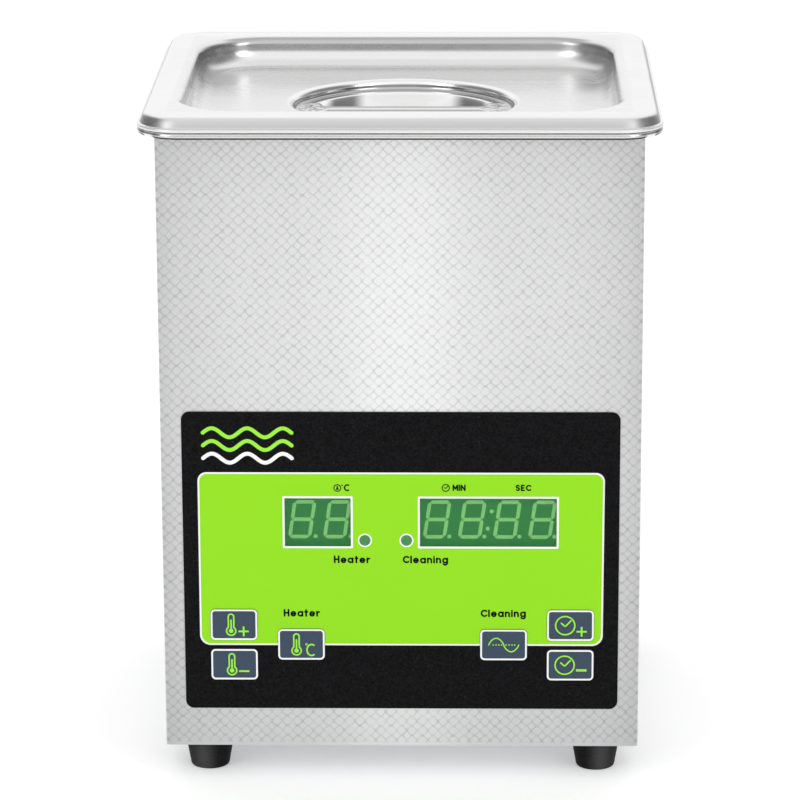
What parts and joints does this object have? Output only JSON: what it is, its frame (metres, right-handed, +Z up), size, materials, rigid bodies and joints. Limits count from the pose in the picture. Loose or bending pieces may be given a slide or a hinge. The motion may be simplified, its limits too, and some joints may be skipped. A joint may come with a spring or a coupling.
{
  "type": "ultrasonic cleaner",
  "caption": "Box-shaped stainless ultrasonic cleaner with a lift-off lid, deep tank, rubber feet and a front panel of keys and digital displays.",
  "frame": {"origin": "on the ground under the middle of the cleaner", "axes": "+Z up, front control panel towards -Y, +X to the right seen from the front"},
  "size_m": [0.176, 0.162, 0.2347],
  "materials": {
    "stainless_lid": "satin pressed stainless steel",
    "stainless_strap": "satin stainless strap with spot welds",
    "stainless_tank": "satin drawn stainless steel",
    "stainless_embossed": "stainless sheet rolled with a fine diamond texture",
    "rear_steel": "brushed stainless sheet",
    "base_steel": "zinc plated sheet",
    "screw_steel": "nickel plated screws",
    "foot_rubber": "moulded black rubber",
    "seal_silicone": "translucent silicone",
    "overlay_black": "black printed film with a fine grain and a green field",
    "window_film": "green tinted clear film",
    "key_slate": "slate blue keys with a white border",
    "display_face": "dark green display faces",
    "segment_green": "light green display bars",
    "led_green": "green indicator lenses",
    "board_green": "circuit board lacquer",
    "chip_black": "moulded component bodies",
    "post_brass": "plain brass",
    "ferrite_grey": "sintered ferrite",
    "winding_copper": "enamelled copper wire",
    "alloy": "machined aluminium",
    "sink_black": "black anodised aluminium",
    "capacitor_sleeve": "shrink sleeve",
    "relay_blue": "moulded relay case",
    "mass_steel": "turned steel",
    "piezo": "fired piezo ceramic",
    "electrode_copper": "copper sheet",
    "heater_red": "silicone heater mat",
    "cutout_body": "ceramic and steel cut-out",
    "fan_black": "moulded fan parts",
    "inlet_black": "moulded mains inlet and switch",
    "pin_plated": "nickel plated pins",
    "fuse_glass": "glass fuse",
    "rocker_black": "moulded rocker",
    "lead_sleeve": "insulated wire",
    "ribbon_grey": "flat ribbon cable"
  },
  "bodies": {
    "cabinet": {"tank": "stainless_tank", "rim_seal": "seal_silicone", "housing_wrap": "stainless_embossed", "rear_panel": "rear_steel", "base_plate": "base_steel", "foot_front_left": "foot_rubber", "foot_front_right": "foot_rubber", "foot_rear_left": "foot_rubber", "foot_rear_right": "foot_rubber", "foot_screws": "screw_steel", "base_screws": "screw_steel", "rear_panel_screws": "screw_steel", "fan_screws": "screw_steel", "control_overlay": "overlay_black", "temp_window": "window_film", "timer_window": "window_film", "tact_switches": "chip_black", "temp_display": "display_face", "timer_display": "display_face", "temp_segments": "segment_green", "timer_segments": "segment_green", "indicator_leds": "led_green", "control_pcb": "board_green", "generator_pcb": "board_green", "control_standoffs": "post_brass", "generator_standoffs": "post_brass", "control_chips": "chip_black", "transformer_core": "ferrite_grey", "transformer_coil": "winding_copper", "choke_coil": "winding_copper", "heatsink": "sink_black", "power_transistors": "chip_black", "filter_capacitors": "capacitor_sleeve", "heater_relay": "relay_blue", "transducer_horn": "alloy", "transducer_ceramics": "piezo", "transducer_electrodes": "electrode_copper", "transducer_back_mass": "mass_steel", "transducer_bolt": "mass_steel", "heater_pad": "heater_red", "thermal_cutout": "cutout_body", "fan_frame": "fan_black", "iec_inlet": "inlet_black", "inlet_pins": "pin_plated", "switch_body": "inlet_black", "mains_leads": "lead_sleeve", "tank_leads": "lead_sleeve", "control_ribbon": "ribbon_grey"},
    "lid": {"lid_shell": "stainless_lid", "lid_handle": "stainless_strap"},
    "rocker": {"switch_rocker": "rocker_black"},
    "rotor": {"fan_rotor": "fan_black"},
    "drawer": {"fuse_drawer": "inlet_black", "fuse": "fuse_glass"},
    "key_temp_up": {"key_temp_up": "key_slate"},
    "key_temp_down": {"key_temp_down": "key_slate"},
    "key_heat": {"key_heat": "key_slate"},
    "key_clean": {"key_clean": "key_slate"},
    "key_time_up": {"key_time_up": "key_slate"},
    "key_time_down": {"key_time_down": "key_slate"}
  },
  "joints": [
    {"name": "lid_lift", "type": "slide", "parent": "cabinet", "child": "lid", "axis": [0, 0, 1], "range_m": [0, 0.12]},
    {"name": "power_rocker", "type": "hinge", "parent": "cabinet", "child": "rocker", "pos_m": [0.038, 0.072, 0.092], "axis": [-1, 0, 0], "range_deg": [0, 20]},
    {"name": "fan_spin", "type": "hinge", "parent": "cabinet", "child": "rotor", "pos_m": [-0.038, 0.066, 0.072], "axis": [0, 1, 0], "continuous": true},
    {"name": "fuse_drawer_slide", "type": "slide", "parent": "cabinet", "child": "drawer", "axis": [0, 1, 0], "range_m": [0, 0.018]},
    {"name": "key_temp_up_press", "type": "slide", "parent": "cabinet", "child": "key_temp_up", "axis": [0, 1, 0], "range_m": [0, 0.0004], "stiffness_N_per_m": 600, "springref_m": -0.0008},
    {"name": "key_temp_down_press", "type": "slide", "parent": "cabinet", "child": "key_temp_down", "axis": [0, 1, 0], "range_m": [0, 0.0004], "stiffness_N_per_m": 600, "springref_m": -0.0008},
    {"name": "key_heat_press", "type": "slide", "parent": "cabinet", "child": "key_heat", "axis": [0, 1, 0], "range_m": [0, 0.0004], "stiffness_N_per_m": 600, "springref_m": -0.0008},
    {"name": "key_clean_press", "type": "slide", "parent": "cabinet", "child": "key_clean", "axis": [0, 1, 0], "range_m": [0, 0.0004], "stiffness_N_per_m": 600, "springref_m": -0.0008},
    {"name": "key_time_up_press", "type": "slide", "parent": "cabinet", "child": "key_time_up", "axis": [0, 1, 0], "range_m": [0, 0.0004], "stiffness_N_per_m": 600, "springref_m": -0.0008},
    {"name": "key_time_down_press", "type": "slide", "parent": "cabinet", "child": "key_time_down", "axis": [0, 1, 0], "range_m": [0, 0.0004], "stiffness_N_per_m": 600, "springref_m": -0.0008}
  ]
}
